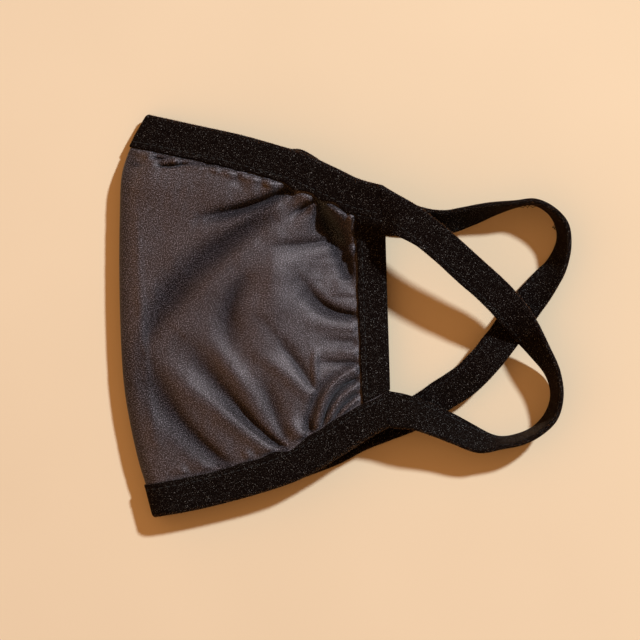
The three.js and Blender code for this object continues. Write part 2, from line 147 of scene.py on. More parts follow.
# The fold line's distance back from its foremost place, as shares of FOLD_BOW.
FOLD_LINE = {
    "at": [0, 0.07, 0.13, 0.21, 0.31, 0.42, 0.6, 0.78, 0.86, 0.93, 1],
    "back": [1, 0.79, 0.58, 0.37, 0.175, 0.075, 0.02, 0.04, 0.1, 0.36, 0.79],
}

# Rise of the near half at its bottom edge, middle and top edge, as shares of LIFT.
LIFT_TABLE = {
    "at": [0, 0.06, 0.3, 0.55, 0.8, 1],
    "bottom": [-0.02, -0.02, 0.05, 0.2, 0.34, 0.4],
    "middle": [0, 0.02, 0.24, 0.4, 0.33, 0.18],
    "top": [0, 0, 0.12, 0.32, 0.68, 0.98],
}

# Folds of the near half: a bent line through three places, how broad the fold is at its start
# and end, its height at start, middle and end (creases are below 0), and, where it isn't 1, how
# much steeper its left side is than its right side, seen along the line.
FOLD_COLUMNS = (
    "x0", "y0", "x1", "y1", "x2", "y2", "wide0", "wide2", "high0", "high1", "high2", "steep",
)
NEAR_FOLDS = [
    # creases and puffs under the top binding, by the fold
    (4.5, 61, 6.5, 59.8, 9.5, 60, 1.2, 1.1, -0.9, -2, -0.6, 0.7),
    (13, 63.2, 17, 62.2, 21, 62.6, 1, 0.9, -1.6, -3.4, -1.2, 0.7),
    (15.5, 60, 19, 59, 24.5, 60.2, 1, 1, -1.4, -3.4, -2, 0.7),
    (24.5, 60.2, 33, 60.4, 43, 58.4, 0.9, 1, -2, -2.8, -1, 0.6),
    (22, 62.6, 24, 62, 27.5, 61.8, 0.9, 0.9, 1, 1.4, 0.5),
    (30, 62, 34, 61.8, 39, 60.9, 0.9, 0.9, 0.8, 1.4, 0.5),
    (43, 60.5, 45.5, 57, 46, 53, 1.5, 2.6, 1, 0.8, 0),
    # short creases out of the top binding
    (48, 58.5, 48, 55.5, 46.5, 51, 1.3, 2.2, -1.5, -0.8, 0, 0.7),
    (53, 57.5, 54, 54, 51.5, 48.5, 1.8, 2.8, 1.8, 1.3, 0.1),
    (57, 56, 57, 53, 55, 49, 1, 1.8, -1.2, -0.6, 0, 0.7),
    (62, 55, 61, 51.5, 57, 48, 2.2, 2.8, 1.9, 1.4, 0.2),
    # the long dark crease and the lit band under it
    (67, 51, 54.5, 43.4, 33, 39.6, 1.7, 2.6, -3.8, -6, -1, 0.55),
    (62, 44, 52, 37, 38, 33, 2.8, 4, 0.7, 1.1, 0.3),
    # the pocket under the raised end of the top binding, and the puffs in it
    (68.5, 53.5, 69.8, 51, 69.2, 48, 1.8, 1.8, -3, -3.4, -1.2),
    (80, 49.5, 81.3, 43.5, 83, 36, 2.2, 3.2, -3.2, -5.2, -4),
    (84.5, 38, 87.5, 31, 91.5, 17.5, 3.2, 3.6, -2.6, -5.6, -4),
    (80, 49.2, 75, 47.6, 69, 44, 1.8, 3, 3.2, 2.6, 0.8),
    (79.6, 47.2, 75, 44.4, 69.5, 41, 1, 1.4, -3.4, -3, -0.8, 0.6),
    (77.5, 44.5, 75.5, 40, 71.5, 34, 2, 3.8, 2.4, 2.4, 0.8, 0.8),
    (82.5, 46.5, 86, 42.8, 89.5, 35.5, 3.6, 3, 4, 6.6, 3.2),
    (93, 42.5, 93.2, 38, 93.2, 31, 1.5, 1.3, 3, 4.6, 2.4),
    (94, 27, 91, 24.5, 88.5, 22, 1.6, 2, 3, 2.8, 0.6),
    (84.5, 30.4, 73, 28.6, 60.5, 27.4, 1.6, 2.8, -1.8, -1.7, -0.3, 0.6),
    (83, 25.5, 75, 23, 64, 21, 4, 5, 0.3, 0.3, 0.1),
    (94.5, 16.5, 88, 13, 83, 9, 2.2, 4, 0.6, 0.8, 0.3),
    # the wide soft fold across to the centre line
    (60.5, 39, 38, 28.5, 22, 9.5, 3, 5.8, -1.4, -3.5, -1.7),
    (22, 9.5, 13.5, -1, 9, -14, 5.8, 2.8, -1.7, -2.6, -0.5),
    (52, 27.5, 38, 16, 21, -6, 4.2, 6, 0.5, 1.6, 0.4),
    (46, 40, 20, 28, 9, 4, 4.5, 5, 0.1, 0.5, 0.3),
    (8, 60, 28, 58, 50, 51, 15, 13, 2, 3.2, 1.4),
    (61, 44.5, 52, 36.5, 44, 33, 1.6, 2, -1, -1.2, -0.3, 0.7),
    # the left flank of the middle bulge, and the bulge
    (50.5, 14, 41.5, 4, 44, -9, 3, 4.8, -1.2, -2.7, -1.3),
    (63, 24, 62, 6, 56, -8, 7, 7, 0.5, 1.6, 0.5),
    # the gather out of the middle of the side binding
    (95, 0.6, 80, 1, 74, 13, 1.7, 3.2, -2.8, -3.6, -0.9, 0.5),
    (95, -5, 82, -4.5, 69, 3, 3.6, 5, 1, 1.2, 0.3),
    (95.2, -10, 88, -11, 80, -9.5, 1.8, 3, -1, -0.9, -0.2, 0.7),
    (95.4, -18.4, 88, -19.2, 79.5, -18.2, 1.2, 1.9, -2, -1.6, -0.3, 0.6),
    (95, -14.5, 88, -15, 80, -14, 2, 3, 1.1, 0.8, 0.1),
    # diagonals under the middle bulge
    (56, -1.5, 61, -6, 67, -13.5, 2.4, 3, -0.4, -0.6, -0.3),
    (54, -14, 64.5, -21, 75, -31, 3.2, 2.8, 0.5, 1.5, 0.8, 0.8),
    (65, -12, 70.5, -18, 76.5, -28, 2.2, 1.8, -0.6, -1.9, -1.2, 0.7),
    (78.2, -14.5, 77.8, -20, 78.4, -27, 1.3, 1.2, 0.4, 1.5, 0.5),
    # the fan in the lower corner
    (95, -21.5, 81, -24.5, 79, -45, 1.8, 1.6, 2, 3, 1.8, 0.9),
    (95, -25, 83.5, -28, 80.8, -44.5, 1.1, 0.9, -2.2, -3, -2, 0.7),
    (95, -28, 86.5, -31.5, 83.4, -43, 1.1, 1, 1.8, 2.4, 1.6),
    (95, -31, 88.5, -34.5, 85.2, -42, 0.9, 0.9, -1.8, -2.2, -1.4, 0.8),
    (95, -33.5, 91, -36.5, 87.5, -41, 1.2, 1.1, 1.4, 1.8, 1.2),
    (90, -21.5, 77.5, -27, 75, -45, 1.6, 2.2, -0.6, -1.6, -1.4, 0.8),
    # puffs along the bottom binding
    (74, -49, 71, -45.5, 66.5, -42, 2.2, 3.8, 2.4, 2.2, 0.6, 0.8),
    (77.5, -47, 76, -44, 74, -39, 1.2, 2, -1.8, -1.4, -0.3, 0.8),
    (57.5, -27, 60.5, -36, 66, -47.5, 3.4, 2.6, -0.6, -1.9, -1.4, 0.8),
    (52.5, -57.5, 51, -55, 48, -52, 1.4, 2, 1.1, 0.8, 0.1),
    (44, -60.8, 42.5, -57.5, 39, -54, 1.6, 2.4, 1.2, 0.9, 0.1),
    (37, -62.5, 35, -60, 31, -57.5, 1.4, 2, 0.9, 0.7, 0.1),
    (28, -65, 26, -62.5, 22, -60.5, 1.4, 2.2, 0.8, 0.6, 0.1),
    (38.5, -63.5, 30, -62.5, 20, -64.5, 0.9, 1.2, -0.9, -0.8, -0.3, 0.7),
    # long folds up from the bottom binding
    (66.5, -53, 48.5, -42, 28, -12, 1.3, 5, -3.4, -3.2, -0.8, 0.6),
    (63.5, -55.5, 42, -39.5, 18, -20, 3, 5, 1.2, 2.4, 0.5, 0.9),
    (45.5, -60.5, 21, -46, 11.5, -19.5, 3, 6.8, -2.4, -3.4, -1.2, 0.55),
    (36, -60, 20, -48, 8, -33, 4.5, 4.5, 0.8, 1.2, 0.3),
    (36.5, -11, 46, -22, 55, -36, 3.6, 3.2, 0.6, 1.9, 0.8, 0.8),
    # the soft pillar beside the fold
    (6.4, 50, 6.6, 0, 14.5, -50, 1.8, 2.2, 0.5, 0.9, 0.5),
]

# Folds of the far half: the same columns, standing up from the floor.
FAR_FOLDS = [
    (92, 35, 66, 24, 38, 19.5, 6, 8, 1.2, 1, 0.2),
    (94, 2, 76, 2.5, 56, -1.5, 6, 8, 1.3, 0.9, 0.2),
    (93, -29, 67, -27, 41, -21, 6, 8, 1.2, 1, 0.2),
    (60, 50, 49, 42, 30, 37, 6, 7, 1.2, 0.9, 0.2),
    (60, -51.5, 46, -43.5, 32, -35.5, 6, 7, 1.2, 0.9, 0.2),
]

# Middle line of an ear loop from its upper corner to its lower one: out as a share of LOOP_REACH
# past the side edge, up of HALF_HEIGHT, high of LOOP_RISE, and the lean of the tape in degrees.
NEAR_LOOP = {
    "out": [0.09, 0.25, 0.43, 0.6, 0.715, 0.82, 0.905, 0.93, 0.898, 0.822, 0.725, 0.61, 0.5, 0.375,
            0.25, 0.11],
    "up": [0.474, 0.364, 0.224, 0.088, -0.03, -0.159, -0.283, -0.4, -0.5, -0.571, -0.614, -0.632,
           -0.625, -0.576, -0.527, -0.48],
    "high": [1.08, 1.12, 0.97, 0.78, 0.64, 0.52, 0.42, 0.36, 0.34, 0.34, 0.34, 0.34, 0.35, 0.46,
             0.61, 0.7],
    "lean": [0, 0, 0, 4, 24, 54, 72, 78, 76, 79, 78, 75, 50, 38, 31, 16],
}
FAR_LOOP = {
    "out": [0.1, 0.2, 0.31, 0.42, 0.55, 0.69, 0.8, 0.895, 0.958, 0.968, 0.93, 0.857, 0.76, 0.65, 0.53,
            0.41, 0.28, 0.13],
    "up": [0.488, 0.468, 0.466, 0.491, 0.526, 0.553, 0.565, 0.524, 0.45, 0.361, 0.253, 0.162, 0.053,
           -0.083, -0.218, -0.325, -0.4, -0.488],
    "high": [0.22, 0.31, 0.36, 0.375, 0.39, 0.39, 0.39, 0.39, 0.38, 0.36, 0.34, 0.32, 0.3, 0.3, 0.38,
             0.3, 0.22, 0.14],
    "lean": [30, 42, 49, 57, 71, 86, 89, 86, 78, 73, 58, 36, 12, 4, 8, 6, 4, 2],
}


def smoothstep(x, low, high):
    """0 below low, 1 above high, and the cubic 3t² - 2t³ between them."""
    t = np.clip((x - low) / (high - low), 0, 1)
    return t * t * (3 - 2 * t)


def curve(table, name, at):
    """A table's column at places between its rows: cubic pieces through the rows, whose slope at a
    row is that from the row before to the row after, and straight lines past both ends."""
    x, y = np.asarray(table["at"], float), np.asarray(table[name], float)
    slope = np.empty_like(y)
    slope[1:-1] = (y[2:] - y[:-2]) / (x[2:] - x[:-2])
    slope[0], slope[-1] = (y[1] - y[0]) / (x[1] - x[0]), (y[-1] - y[-2]) / (x[-1] - x[-2])
    at = np.asarray(at, float)
    k = np.clip(np.searchsorted(x, at, side="right") - 1, 0, len(x) - 2)
    span = x[k + 1] - x[k]
    t = (at - x[k]) / span
    start, end, rise = slope[k] * span, slope[k + 1] * span, y[k + 1] - y[k]
    inside = y[k] + t * (start + t * (3 * rise - 2 * start - end + t * (start + end - 2 * rise)))
    before = y[0] + (at - x[0]) * slope[0]
    after = y[-1] + (at - x[-1]) * slope[-1]
    return np.where(at < x[0], before, np.where(at > x[-1], after, inside))


def cut_edge(side, far, share):
    """Height of a cut edge of the cloth: the bound outline less the tape's bend."""
    near_edge, far_edge = curve(OUTLINE, side, share), curve(OUTLINE, "far_" + side, share)
    inset = -EDGE_INSET if side == "top" else EDGE_INSET
    return np.where(far, far_edge, near_edge) * HALF_HEIGHT + inset


def edge_slope(side, far, share):
    """Length of a cut edge for each millimetre along x: the root of 1 plus its slope squared."""
    step = 0.02
    rise = cut_edge(side, far, share + step) - cut_edge(side, far, share - step)
    return np.hypot(1, rise / (2 * step * HALF_WIDTH))


def lift(share, v):
    """Rise of the near half: a parabola over v through its bottom, middle and top values."""
    low, middle, high = (curve(LIFT_TABLE, name, share) for name in ("bottom", "middle", "top"))
    bend = 2 * (low - 2 * middle + high)
    return LIFT * (low + v * (high - low - bend + bend * v))


def under_top_mouth(d):
    """Share of the sag at a distance from the top edge: 0 up to the tape's mouth, rising to 1
    just below it, and slowly back to 0 down the side."""
    return smoothstep(d, EDGE_MOUTH + 0.5, EDGE_MOUTH + 10) * (1 - smoothstep(d, *SAG_RETURN))


def calm(q, v):
    """The cloth's middle without folds. q runs along the cloth from the fold, below 0 on the far
    half, and v from the bottom cut edge to the top one. The cloth turns round a quarter circle
    each way from the fold and then runs straight to the side edge."""
    q, v = np.broadcast_arrays(np.asarray(q, float), np.asarray(v, float))
    far = q < 0
    turn = np.minimum(np.abs(q) / FOLD_RADIUS, np.pi / 2)
    along = np.maximum(0, np.abs(q) - QUARTER_TURN) / (REACH - QUARTER_TURN)
    back = curve(FOLD_LINE, "back", v) * FOLD_BOW
    run = HALF_WIDTH - EDGE_INSET - SIDE_LEAN * v - back
    x = back + FOLD_RADIUS * (1 - np.cos(turn)) + along * (run - FOLD_RADIUS)
    share = (x - back) / run
    low, high = cut_edge("bottom", far, share), cut_edge("top", far, share)
    y = low + (high - low) * v
    pressed = 1 - TOP_PRESS * smoothstep(v, 0.82, 0.96) * (1 - smoothstep(share, 0.06, 0.45))
    z = FAR_LEVEL + FOLD_RADIUS * (1 + np.where(far, -1, 1) * np.sin(turn)) * pressed
    crest = CREST_DROP * np.sin(turn) * np.exp(-(((x - back) / CREST_BREADTH) ** 2))
    sag = SAG * smoothstep(share, 0.56, 0.82) * under_top_mouth((1 - v) * (high - low))
    z = z + np.where(far, 0, lift(share, v) - crest - sag)
    return np.stack([x, y, z], -1), share, far


def unit(a):
    """Directions: each row divided by its length."""
    return a / np.maximum(np.linalg.norm(a, axis=-1, keepdims=True), 1e-12)


def calm_normal(q, v):
    """Outward direction of the calm cloth: the cross product of its two slopes."""
    dq, dv = 0.6, 0.004
    along = calm(q + dq, v)[0] - calm(q - dq, v)[0]
    up = calm(q, v + dv)[0] - calm(q, v - dv)[0]
    return unit(np.cross(along, up))


def edge_share(side, q, d):
    """v at a distance d in from the top or bottom cut edge."""
    ends = np.full_like(q, 1.0 if side == "top" else 0.0)
    _, share, far = calm(q, ends)
    height = cut_edge("top", far, share) - cut_edge("bottom", far, share)
    v = d * edge_slope(side, far, share) / height
    return 1 - v if side == "top" else v


def fold_heights(rows, x, y):
    """Sum of folds. Each is a bell over the distance from a bent line: exp(-(distance / breadth)²),
    its breadth and height changing evenly along the line, narrower on its steep side."""
    total = np.zeros_like(x)
    t = np.linspace(0, 1, 41)
    for row in rows:
        f = {"steep": 1, **dict(zip(FOLD_COLUMNS, row))}
        w0, w1, w2 = (1 - t) ** 2, 2 * t * (1 - t), t * t
        px, py = (w0 * f[k + "0"] + w1 * f[k + "1"] + w2 * f[k + "2"] for k in "xy")
        reach = 3 * max(f["wide0"], f["wide2"]) * max(f["steep"], 1)
        near = (x > px.min() - reach) & (x < px.max() + reach)
        near &= (y > py.min() - reach) & (y < py.max() + reach)
        gx, gy = x[near], y[near]
        distance = np.hypot(gx[:, None] - px, gy[:, None] - py)
        k = distance.argmin(1)
        d = distance[np.arange(len(k)), k]
        tx, ty = np.gradient(px)[k], np.gradient(py)[k]
        left = tx * (gy - py[k]) - ty * (gx - px[k]) > 0
        s = t[k]
        wide = f["wide0"] + (f["wide2"] - f["wide0"]) * s
        wide = wide * np.where(left, f["steep"] ** -0.5, f["steep"] ** 0.5)
        high = f["high0"] * (1 - s) * (1 - 2 * s) + f["high1"] * 4 * s * (1 - s)
        high = high + f["high2"] * s * (2 * s - 1)
        total[near] += high * np.exp(-((d / wide) ** 2))
    return total


def soft_noise(x, y, wavelength, seed, count=28):
    """Smooth uneven field of about -1 to 1: a sum of plane waves in all directions, whose lengths
    are spread around one wavelength."""
    rng = np.random.default_rng(seed)
    angles = rng.uniform(0, 2 * np.pi, count)
    lengths = wavelength * rng.uniform(0.7, 1.5, count)
    phases = rng.uniform(0, 2 * np.pi, count)
    total = np.zeros_like(x)
    for angle, length, phase in zip(angles, lengths, phases):
        total += np.sin(2 * np.pi * (x * np.cos(angle) + y * np.sin(angle)) / length + phase)
    return total / np.sqrt(count)


def pleats(along, wide, narrow, share, stray):
    """Two sets of waves along a bound edge, each a wavelength and how far its spacing strays."""
    broad = np.sin(2 * np.pi * along / wide[0] + wide[1] * stray)
    return broad + share * np.sin(2 * np.pi * along / narrow[0] + narrow[1] * stray)


def gathers(x, y, side_distance, edge_distance):
    """Small pleats that fade away from the bindings: waves along the bound edge whose spacing
    strays with a soft noise, times a decay over the distance from that edge."""
    stray = 0.9 * soft_noise(x * 0.3, y, 24, 5)
    side = 0.22 * pleats(y, (6.2, 2.2), (3.3, 3), 0.55, stray)
    hem = 0.2 * pleats(x, (7.5, 2.4), (4.1, 4), 0.5, stray)
    side = side * np.exp(-np.maximum(0, side_distance - SIDE_MOUTH) / 9)
    return side + hem * np.exp(-np.maximum(0, edge_distance - EDGE_MOUTH) / 4)


def puffed_seam(x, top_distance):
    """Rise of the cloth against the top binding's lip, where the gathered seam pushes it up: a
    narrow bell next to the mouth, uneven along it, as far as the pocket."""
    uneven = 1 + 0.3 * np.sin(2 * np.pi * x / 9.5 + 0.6) + 0.25 * np.sin(2 * np.pi * x / 5.3)
    reach = smoothstep(x, 2, 9) * (1 - smoothstep(x, 62, 68))
    past = top_distance - EDGE_MOUTH
    rise, fall = 1.1, 1.7
    bell = smoothstep(past, 0, rise) * np.exp(-((np.maximum(0, past - rise) / fall) ** 2))
    return PUFF * uneven * reach * bell


def cloth(q, v):
    """The cloth's middle with its folds, on a grid. Folds are 0 inside the bindings, grow over
    about 2 mm past their mouths, and fade towards the centre fold. The far half is pressed flat,
    and the near one stays above it by a soft lower limit: the log of 1 plus an exponential."""
    point, share, far = calm(q, v)
    x, y, z = np.moveaxis(point, -1, 0)
    height = cut_edge("top", far, share) - cut_edge("bottom", far, share)
    low = v * height / edge_slope("bottom", far, share)
    high = (1 - v) * height / edge_slope("top", far, share)
    edge = np.minimum(low, high)
    side = REACH - np.abs(q)
    free = smoothstep(edge, EDGE_MOUTH + 0.2, EDGE_MOUTH + 2.4)
    free = free * smoothstep(side, SIDE_MOUTH + 0.2, SIDE_MOUTH + 2.8)
    fold = smoothstep(np.abs(q) - QUARTER_TURN, 0, 14)
    early_fold = smoothstep(np.abs(q) - QUARTER_TURN, -2, 7)
    near_rise = np.zeros_like(x)
    near_rise[~far] = FOLD_SHARE * fold_heights(NEAR_FOLDS, x[~far], y[~far])
    near_rise = near_rise * early_fold
    near_rise += gathers(x, y, side, edge) * fold
    waves = SOFT_WAVES * soft_noise(x, y, 15, 3) * early_fold
    near_rise += waves + SMALL_WAVES * soft_noise(x, y, 5, 4)
    far_rise = np.zeros_like(x)
    far_rise[far] = np.maximum(0, fold_heights(FAR_FOLDS, x[far], y[far]) - 0.15)
    far_rise = far_rise + CLOTH_THICKNESS / 2 - FAR_LEVEL
    rise = free * np.where(far, fold * far_rise, near_rise) + np.where(far, 0, puffed_seam(x, high))
    z = z + rise
    rest = FLOOR_OF_NEAR + 0.5 * np.logaddexp(0, 2 * (z - FLOOR_OF_NEAR))
    z = np.where((q > QUARTER_TURN) & (free > 0.99), rest, z)
    return np.stack([x, y, z], -1)


def painted_crease_shade(q, v):
    """0 on open cloth and up to 1 deep in its creases and along the fold's rim, where the cloth's colour
    is darkened as painted shade and its gloss lowered: the sum of the creases alone and a band by the
    fold line, made to level off as 1 - exp(-depth / 2)."""
    point, _, far = calm(q, v)
    creases = [row for row in NEAR_FOLDS if row[9] < 0]
    depth = np.zeros(q.shape)
    depth[~far] = -fold_heights(creases, point[..., 0][~far], point[..., 1][~far])
    # Painted shade along the fold's rounded rim, which faces away from the lamp.
    depth += 1.3 * np.exp(-((np.abs(q) / 6) ** 6))
    return 1 - np.exp(-np.maximum(depth, 0) / 2)


def painted_pocket_light(q, v):
    """1 in the pocket under the raised end of the top binding, where the cloth lies in shadow, seen by
    the light of the cloth around it alone, and its colour is made lighter, greener and bluer as painted
    fill light; 0 away from it."""
    point, _, far = calm(q, v)
    x, y = point[..., 0], point[..., 1]
    deep = fold_heights([row for row in NEAR_FOLDS if row[9] <= -5 and row[0] > 78], x, y)
    return np.where(far, 0, smoothstep(-deep, 1.2, 4.5) * smoothstep(y, 26, 32))


def grid_normals(p):
    """Normals of a grid surface: the cross product of its steps along both directions."""
    return unit(np.cross(np.gradient(p, axis=0), np.gradient(p, axis=1)))


def placed(points):
    """Points of the mask's own frame in the frame's metres."""
    panel, top, bottom = (np.array(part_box(n)) for n in ("face_panel", "top_binding", "bottom_binding"))
    shift_x = panel[0][0] / MM + CLOTH_THICKNESS / 2
    shift_y = (top[1][1] + bottom[0][1]) / 2 / MM
    return (np.asarray(points, float) + [shift_x, shift_y, 0]) * MM


def linked(name, data):
    """A new object of the scene, at its origin."""
    made = bpy.data.objects.new(name, data)
    bpy.context.scene.collection.objects.link(made)
    return made


def new_piece(name, points, faces, material, uv=None, smooth=True):
    """A mesh piece of whole arrays: points in millimetres, and faces of four or three corners."""
    mesh = bpy.data.meshes.new(name)
    points = placed(points).reshape(-1, 3)
    mesh.from_pydata(points, [], faces.tolist())
    if uv is not None:
        layer = mesh.uv_layers.new(name="UVMap")
        loops = np.empty(len(mesh.loops), np.int32)
        mesh.loops.foreach_get("vertex_index", loops)
        layer.data.foreach_set("uv", np.asarray(uv, np.float32)[loops].ravel())
    mesh.polygons.foreach_set("use_smooth", np.full(len(mesh.polygons), smooth))
    mesh.materials.append(material)
    mesh.update()
    piece = linked(name, mesh)
    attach(piece, "root")
    return piece


def tube_faces(rings, count):
    """Quads between neighbours in rings of count points each."""
    i, j = np.meshgrid(np.arange(rings - 1), np.arange(count), indexing="ij")
    k = (j + 1) % count
    corners = [i * count + j, (i + 1) * count + j, (i + 1) * count + k, i * count + k]
    return np.stack(corners, -1).reshape(-1, 4)


def folded_faces(rings, count):
    """Faces of a closed run of flat or U-shaped rings: its sides, and over both ends quads that
    join points opposite each other across the ring."""
    a = np.arange(count // 2 - 1)
    first = np.stack([a, a + 1, count - 2 - a, count - 1 - a], -1)
    last = (rings - 1) * count + first[:, ::-1]
    return np.concatenate([tube_faces(rings, count), first, last])


def bar_faces(rings, bars):
    """Faces of a number of closed bars of six sides: the sides, and two quads over each end."""
    corners = len(BAR_TURN)
    near_cap = np.array([[0, 1, 2, 3], [0, 3, 4, 5]])
    far_cap = corners * (rings - 1) + np.array([[0, 3, 2, 1], [0, 5, 4, 3]])
    faces = np.concatenate([tube_faces(rings, corners), near_cap, far_cap])[:, ::-1]
    return (faces[None] + rings * corners * np.arange(bars)[:, None, None]).reshape(-1, 4)


def half_name(far):
    """The word for a half in the names of its pieces."""
    return "far" if far else "near"


# The cloth
def stations(near_step, far_step, turns):
    """Places along the cloth from the far side edge over the fold to the near one: about a step
    apart on each half, and a given number of them round the turn."""
    length = REACH - QUARTER_TURN
    steps = (int(length / step) + 1 for step in (near_step, far_step))
    near, far = (QUARTER_TURN + np.linspace(0, length, count)[1:] for count in steps)
    turn = np.linspace(-QUARTER_TURN, QUARTER_TURN, turns)
    return np.concatenate([-far[::-1], turn, near])


def cloth_rows():
    """Places from the bottom cut edge to the top one, closer together by both bindings."""
    t = np.linspace(0, 1, ROW_COUNT)
    return t - 0.36 * np.sin(2 * np.pi * t) / (2 * np.pi)


def face_panel(material):
    """The cloth as a closed sheet: its middle surface moved out and in by half its thickness
    along its normals, and joined round the rim."""
    q, v = np.meshgrid(stations(NEAR_STEP, FAR_STEP, 19), cloth_rows(), indexing="ij")
    middle = cloth(q, v)
    shift = grid_normals(middle) * CLOTH_THICKNESS / 2
    rings = np.concatenate([middle + shift, (middle - shift)[:, ::-1]], 1)
    faces = folded_faces(*rings.shape[:2])
    flat = np.stack([q, (v - 0.5) * FOLD_HEIGHT], -1)
    uv = np.concatenate([flat, flat[:, ::-1]], 1).reshape(-1, 2) * MM
    piece = new_piece("face_panel_cloth", rings, faces, material, uv)
    # Values for the painted shade of the creases and the painted fill light of the pocket, kept on both
    # skins.
    for label, value in (("hollow", painted_crease_shade(q, v)), ("pocket", painted_pocket_light(q, v))):
        layer = piece.data.attributes.new(label, "FLOAT", "POINT")
        both = np.concatenate([value, value[:, ::-1]], 1)
        layer.data.foreach_set("value", both.ravel().astype(np.float32))
    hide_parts("face_panel")
    return piece


# The bindings
def tape_piece(name, s, outline, points, turned, material):
    """A tape as a closed piece: its outline carried along the grid of points, with a flat map of
    the places s along it and the outline's own length across it."""
    faces = folded_faces(*points.shape[:2])
    around = np.concatenate([[0], np.cumsum(np.hypot(*np.diff(outline, axis=0).T))])
    uv = np.stack([s, np.broadcast_to(around, s.shape)], -1).reshape(-1, 2) * MM
    faces = faces[:, ::-1] if turned else faces
    piece = new_piece(name + "_tape", points, faces, material, uv)
    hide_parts(name)
    return piece


def binding_section(width):
    """Outline of the folded tape as (inward distance, height off the cloth): round over the bound
    edge, soft at both lips, and hollow where the cloth goes in. Steps of the straight runs are
    even, so that the stitch dimples show."""
    mouth, half = width - EDGE_INSET, BINDING_HALF
    bend_centre = half - EDGE_INSET
    angle = np.linspace(np.pi / 2, -np.pi / 2, 13)
    bend = np.stack([bend_centre - half * np.cos(angle), half * np.sin(angle)], -1)
    runs = np.linspace(mouth - 0.35, bend_centre, 18)[:-1]
    upper = np.stack([runs, np.full_like(runs, half)], -1)
    lip = np.array(
        [[mouth - 0.02, half - TAPE_THICKNESS + 0.12], [mouth, half - 0.5], [mouth - 0.1, half - 0.18]])
    inner_runs = np.linspace(-CLEARANCE, mouth - 0.35, 12)
    inner = np.stack([inner_runs, np.full_like(inner_runs, SLOT_HALF)], -1)
    top = np.concatenate([inner, lip, upper])
    return np.concatenate([top, bend[1:-1], top[::-1] * [1, -1]])


def ruffle(s, seed):
    """Slight waver of a sewn tape along its length, from a few waves of 9 to 40 mm."""
    rng = np.random.default_rng(seed)
    lengths, phases = rng.uniform(9, 40, 9), rng.uniform(0, 2 * np.pi, 9)
    return np.sin(2 * np.pi * s[:, None] / lengths + phases).sum(1) / 3


def dimples(s, d, line):
    """Dip of the tape along a stitch line: a narrow groove, deeper at each stitch's ends."""
    groove = np.exp(-(((d - line) / DIMPLE_BREADTH) ** 2))
    return -DIMPLE_DEPTH * groove * (0.55 + 0.45 * np.cos(2 * np.pi * s / STITCH_PITCH))


def folded_tape(outline, s, line):
    """The folded tape's places inward and heights off the cloth at each place s along it, with
    the stitch dimples in its outer skin."""
    d = np.tile(outline[:, 0], (len(s), 1))
    off = np.tile(outline[:, 1], (len(s), 1))
    outer_skin = np.abs(off) > BINDING_HALF - 0.3
    return d, off + np.sign(off) * outer_skin * dimples(s, d, line)


def squeeze(q):
    """Share of the tape's full thickness that is left where the fold presses it: less by a bell
    over the distance from the fold line."""
    return 1 - FOLD_SQUEEZE * np.exp(-((q / SQUEEZE_BREADTH) ** 2))


def edge_binding(side, material):
    """Tape folded over the top or bottom edge: its outline carried along the cut edge, off the
    calm cloth by the tape's own thickness. Its lip wavers, and more so by the ear side."""
    q = stations(TAPE_STEP, TAPE_STEP, 25)
    outline = binding_section(EDGE_TAPE_WIDTH)
    s = np.repeat(q[:, None], len(outline), 1)
    d, off = folded_tape(outline, s, EDGE_MOUTH - STITCH_INSET)
    waver = (0.16 + 0.34 * smoothstep(q, 30, 60)) * ruffle(q, 11 if side == "top" else 12)
    d = d + waver[:, None] * smoothstep(d, EDGE_MOUTH - 4, EDGE_MOUTH)
    off = off * squeeze(s)
    v = edge_share(side, s.ravel(), d.ravel()).reshape(d.shape)
    points = calm(s, v)[0] + calm_normal(s, v) * off[..., None]
    return tape_piece(side + "_binding", s, outline, points, side == "bottom", material)


def side_binding(far, material):
    """Tape folded over an ear edge, from the bottom binding's mouth to the top one's."""
    sign = -1 if far else 1
    outline = binding_section(SIDE_TAPE_WIDTH)
    t = np.linspace(0, 1, SIDE_STATIONS)
    q_edge = np.full(1, sign * (REACH - 5))
    low, high = (edge_share(side, q_edge, np.full(1, EDGE_MOUTH + 0.1)) for side in ("bottom", "top"))
    s = np.repeat((t * (high - low) * SIDE_RUN)[:, None], len(outline), 1)
    d, off = folded_tape(outline, s, SIDE_MOUTH - STITCH_INSET)
    q = sign * (REACH - d)
    mouths = np.full(len(outline), EDGE_MOUTH + 0.12)
    first, last = (edge_share(side, q[0], mouths) for side in ("bottom", "top"))
    v = first + (last - first) * t[:, None]
    waver = 0.22 * ruffle(s[:, 0], 13 + far)[:, None]
    q = q - sign * waver * smoothstep(d, SIDE_MOUTH - 4, SIDE_MOUTH)
    points = calm(q, v)[0] + calm_normal(q, v) * off[..., None]
    return tape_piece(half_name(far) + "_side_binding", s, outline, points, not far, material)


# The ear loops
def corner(side, far):
    """Middle and half width of an edge binding's end at the ear corner."""
    q = np.full(2, (-1 if far else 1) * (REACH + 0.1))
    d = np.array([-EDGE_INSET, EDGE_MOUTH])
    outer, inner = calm(q, edge_share(side, q, d))[0]
    return (outer + inner) / 2, (outer - inner) / 2


